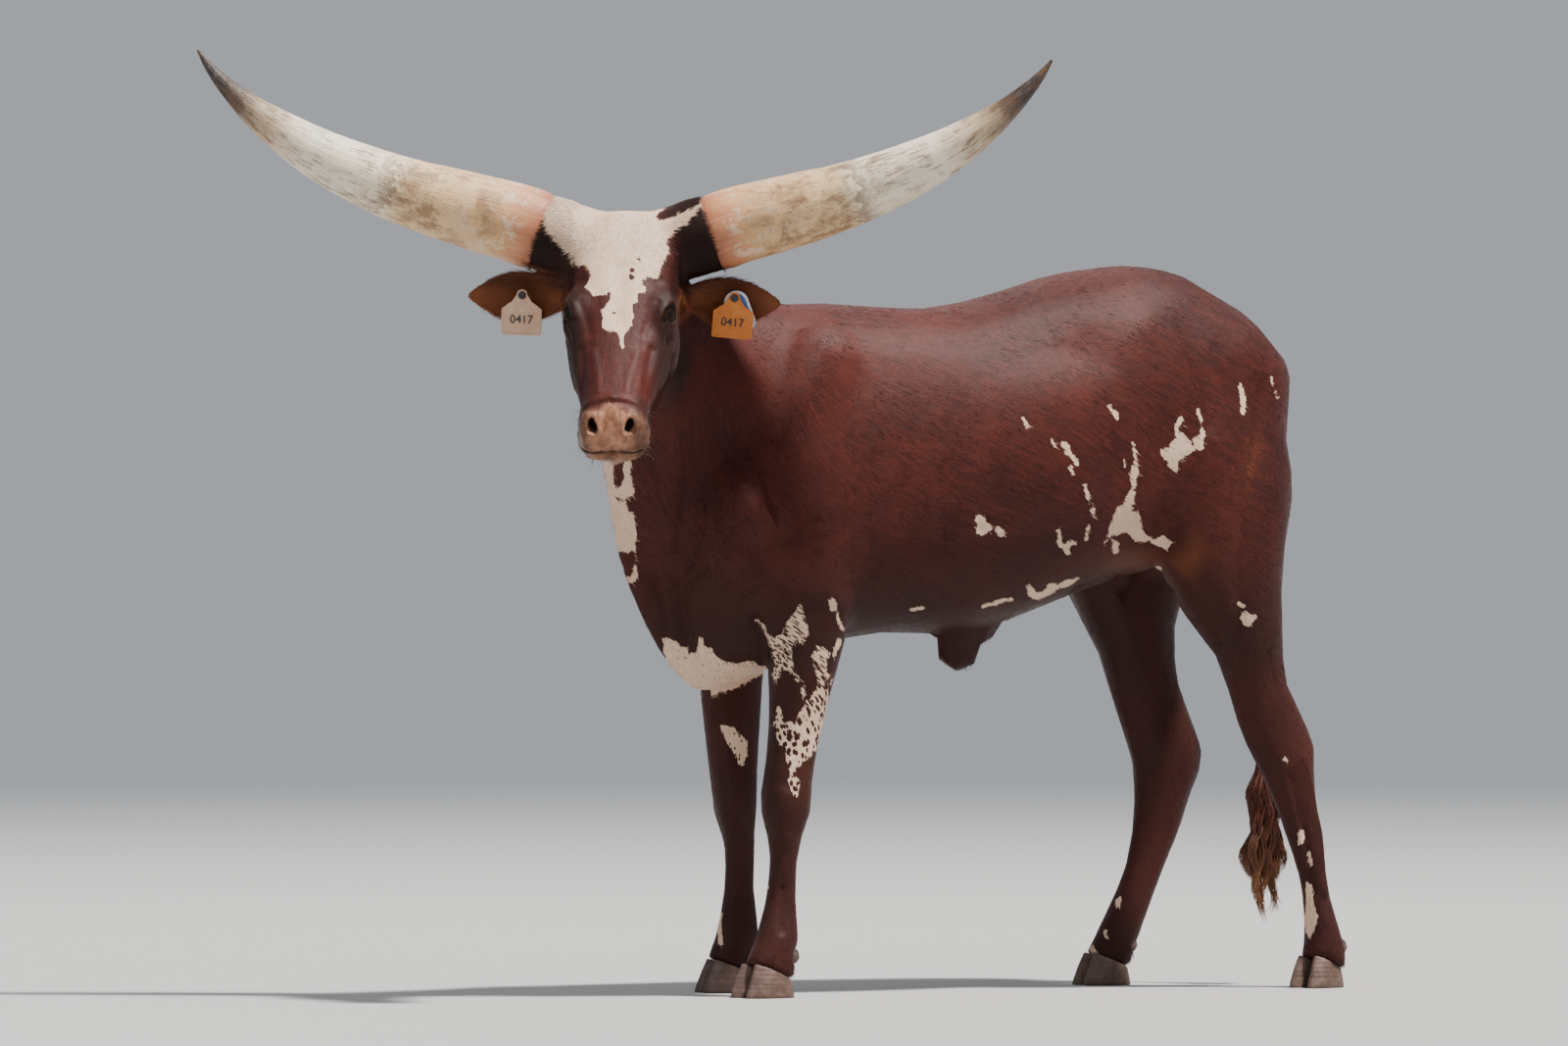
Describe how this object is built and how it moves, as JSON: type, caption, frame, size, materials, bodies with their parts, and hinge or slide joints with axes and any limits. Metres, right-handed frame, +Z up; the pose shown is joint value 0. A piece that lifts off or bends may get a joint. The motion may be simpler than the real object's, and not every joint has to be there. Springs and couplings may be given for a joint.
{
  "type": "ankole watusi young bull",
  "caption": "Life-size young Ankole-Watusi bull standing still with its head turned to its left: huge upswept horns, dark chestnut coat with cream blaze and patches, ear tags.",
  "frame": {"origin": "on the floor under the middle of the bounding box", "axes": "+Z up; the body faces -Y, its left side is +X; the head is turned towards +X and -Y"},
  "size_m": [0.7659, 2.1194, 1.7146],
  "materials": {
    "coat_chestnut": "short sleek dark chestnut coat with cream blaze, flecks and patches",
    "horn_sheath": "ivory horn, pinkish at the base and dark brown at the tip, satin with fine grain",
    "hoof_horn": "grey-brown hoof horn, matt",
    "eye_dark": "wet dark brown",
    "switch_hair": "long wavy reddish-brown hair",
    "tag_orange": "orange flexible plastic",
    "tag_peach": "faded peach flexible plastic",
    "tag_white_blue": "white flexible plastic with a blue face",
    "stud_dark": "dark plastic button"
  },
  "bodies": {
    "root": {"claw_front_left_left": "hoof_horn", "claw_front_left_right": "hoof_horn", "claw_front_right_left": "hoof_horn", "claw_front_right_right": "hoof_horn", "claw_hind_left_left": "hoof_horn", "claw_hind_left_right": "hoof_horn", "claw_hind_right_left": "hoof_horn", "claw_hind_right_right": "hoof_horn", "dewclaw_front_left_left": "hoof_horn", "dewclaw_front_left_right": "hoof_horn", "dewclaw_front_right_left": "hoof_horn", "dewclaw_front_right_right": "hoof_horn", "dewclaw_hind_left_left": "hoof_horn", "dewclaw_hind_left_right": "hoof_horn", "dewclaw_hind_right_left": "hoof_horn", "dewclaw_hind_right_right": "hoof_horn", "ear_left": "coat_chestnut", "ear_right": "coat_chestnut", "eye_left": "eye_dark", "eye_right": "eye_dark", "head": "coat_chestnut", "horn_left": "horn_sheath", "horn_right": "horn_sheath", "leg_front_left": "coat_chestnut", "leg_front_right": "coat_chestnut", "leg_hind_left": "coat_chestnut", "leg_hind_right": "coat_chestnut", "neck": "coat_chestnut", "tag_left": "tag_orange", "tag_right": "tag_peach", "tag_round_left": "tag_white_blue", "tag_stud_left": "stud_dark", "tag_stud_right": "stud_dark", "tail": "coat_chestnut", "tail_switch": "switch_hair", "torso": "coat_chestnut"}
  },
  "joints": []
}
